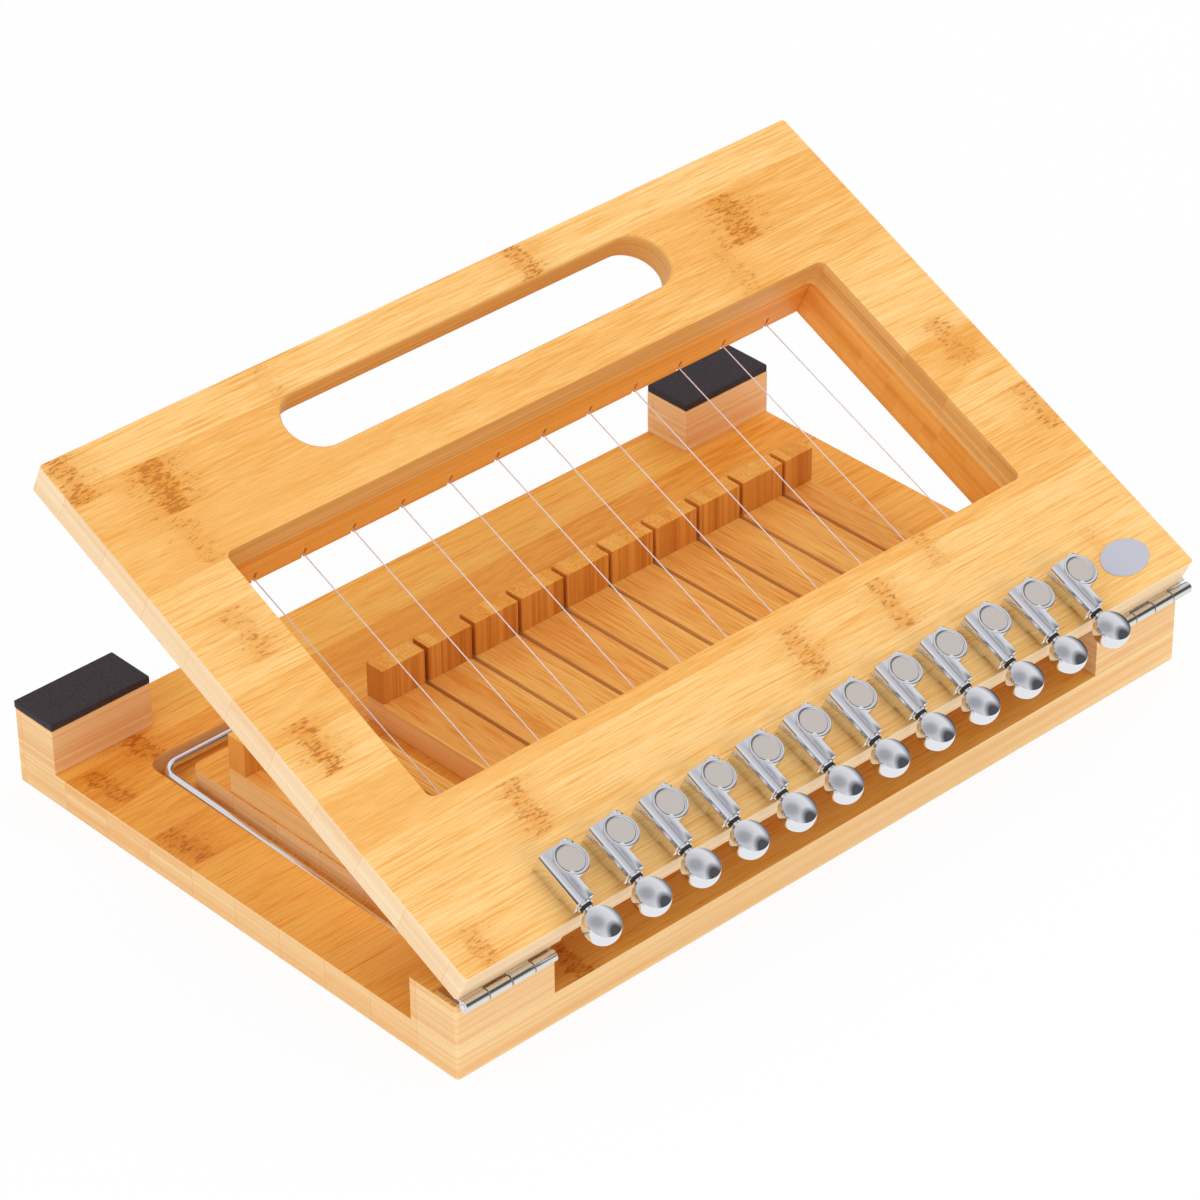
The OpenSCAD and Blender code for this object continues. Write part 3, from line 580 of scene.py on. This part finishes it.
def labelParts():
    work = bmesh.new()
    bmesh.ops.create_circle(work, cap_ends=True, segments=label["segments"], radius=1.0)
    bmesh.ops.scale(work, verts=work.verts, vec=(*label["half"], 1))
    raised(work, work.faces[:], label["thick"])
    return [work]


topPiece("label_foil", labelParts, [label["at"]], "label_disc")
print("label made")

# the studio that the chrome mirrors: a stop's place is a height, from 0 straight down to 1 straight up
studio = {
    "strength": 0.95,
    "heights": [(0.0, (0.95, 0.95, 0.95)), (0.49, (0.95, 0.95, 0.95)), (0.5, (0.08, 0.08, 0.085)),
                (0.63, (0.1, 0.1, 0.11)), (0.7, (0.5, 0.5, 0.52)), (0.77, (0.95, 0.95, 0.97)),
                (0.88, (0.85, 0.85, 0.87)), (0.93, (0.72, 0.72, 0.74)), (1.0, (0.7, 0.7, 0.72))],
    "paleFront": {"y": (-0.35, -0.65), "bottom": (0.0, 0.02), "top": (0.42, 0.3),
                  "colour": (0.66, 0.65, 0.66)},
    "darkPlaces": [
        {"towards": (0.2, -0.08, 0.977), "reach": (0.93, 0.99), "weight": 0.5, "colour": (0.2, 0.2, 0.23)},
        {"towards": (0.62, -0.6, 0.5), "reach": (0.87, 0.96), "weight": 1.0, "colour": (0.1, 0.1, 0.11)},
    ],
}


def makeWorld():
    world = bpy.data.worlds.new("Studio")
    bpy.context.scene.world = world
    world.use_nodes = True
    world.node_tree.nodes.clear()
    g = Graph(world.node_tree)
    direction = g.node("ShaderNodeTexCoord").outputs["Generated"]
    x, y, height = g.parts(direction)
    sky = g.ramp(g.span(height, -1, 1), studio["heights"])
    pale = studio["paleFront"]
    upright = g.times(g.span(height, *pale["bottom"]), g.span(height, *pale["top"]))
    sky = g.mix(g.times(g.span(y, *pale["y"]), upright), sky, pale["colour"])
    for dark in studio["darkPlaces"]:
        near = g.span(g.dot(direction, dark["towards"]), *dark["reach"], 0.0, dark["weight"])
        sky = g.mix(near, sky, dark["colour"])
    around = g.node("ShaderNodeBackground", sky, studio["strength"])
    white = g.node("ShaderNodeBackground", (1, 1, 1), 1.0)
    cameraRay = g.node("ShaderNodeLightPath").outputs["Is Camera Ray"]
    shown = g.node("ShaderNodeMixShader", cameraRay, around, white)
    g.put(g.node("ShaderNodeOutputWorld").inputs["Surface"], shown)


# a pale floor, white to the camera and in the chrome but for a faint shadow, and clear from below
floorLook = {"half": 4.0, "height": -0.0003, "colour": (0.95, 0.95, 0.95), "white": 0.93}


def makeFloor():
    mesh = bpy.data.meshes.new("floor")
    work = bmesh.new()
    bmesh.ops.create_grid(work, x_segments=1, y_segments=1, size=floorLook["half"])
    bmesh.ops.translate(work, verts=work.verts, vec=(0, 0, floorLook["height"]))
    work.to_mesh(mesh)
    work.free()
    floor = bpy.data.objects.new("floor", mesh)
    bpy.context.collection.objects.link(floor)
    material = bpy.data.materials.new("Floor")
    material.use_nodes = True
    tree = material.node_tree
    tree.nodes.remove(tree.nodes["Principled BSDF"])
    g = Graph(tree)
    rays = g.node("ShaderNodeLightPath").outputs
    seen = g.larger(rays["Is Camera Ray"], g.larger(rays["Is Glossy Ray"], rays["Is Transmission Ray"]))
    matt = g.node("ShaderNodeBsdfDiffuse", floorLook["colour"])
    white = g.node("ShaderNodeEmission", (1, 1, 1), 1.0)
    above = g.node("ShaderNodeMixShader", g.times(seen, floorLook["white"]), matt, white)
    fromBelow = g.node("ShaderNodeNewGeometry").outputs["Backfacing"]
    shown = g.node("ShaderNodeMixShader", fromBelow, above, g.node("ShaderNodeBsdfTransparent"))
    g.put(tree.nodes["Material Output"].inputs["Surface"], shown)
    paint(floor, material)


softboxes = {"right": {"at": (1.0, 0.1, 1.7), "size": (2.4, 1.8), "watts": 15},
             "left": {"at": (-1.7, -0.3, 0.9), "size": (1.6, 1.2), "watts": 11.5},
             "front": {"at": (0.3, -1.7, 0.5), "size": (1.6, 1.0), "watts": 7.5}}
aim = Vector((0, 0, 0.05))  # in the middle of the object, which every softbox faces


def makeSoftbox(name, look):
    light = bpy.data.lights.new(name, "AREA")
    light.shape = "RECTANGLE"
    light.size, light.size_y = look["size"]
    light.energy = look["watts"]
    obj = bpy.data.objects.new(name, light)
    bpy.context.collection.objects.link(obj)
    obj.location = look["at"]
    obj.visible_glossy = False  # the studio is what the chrome shows
    obj.rotation_mode = "QUATERNION"
    obj.rotation_quaternion = (aim - Vector(look["at"])).to_track_quat("-Z", "Y")


# the photograph's camera: turn is its axis times its angle in radians
cameraLook = {"lens": 145.8, "sensor": 36, "at": (-1.08848, -1.17292, 1.12594),
              "turn": (0.9368, -0.3611, -0.6949)}


def makeCamera():
    camera = bpy.data.objects.new("camera", bpy.data.cameras.new("camera"))
    bpy.context.collection.objects.link(camera)
    bpy.context.scene.camera = camera
    camera.data.lens = cameraLook["lens"]
    camera.data.sensor_width = cameraLook["sensor"]
    camera.location = cameraLook["at"]
    turn = Vector(cameraLook["turn"])
    camera.rotation_mode = "QUATERNION"
    camera.rotation_quaternion = Quaternion(turn.normalized(), turn.length)


makeWorld()
makeFloor()
for name, look in softboxes.items():
    makeSoftbox(name, look)
makeCamera()
bpy.context.scene.view_settings.view_transform = "Standard"
print("light and camera set")
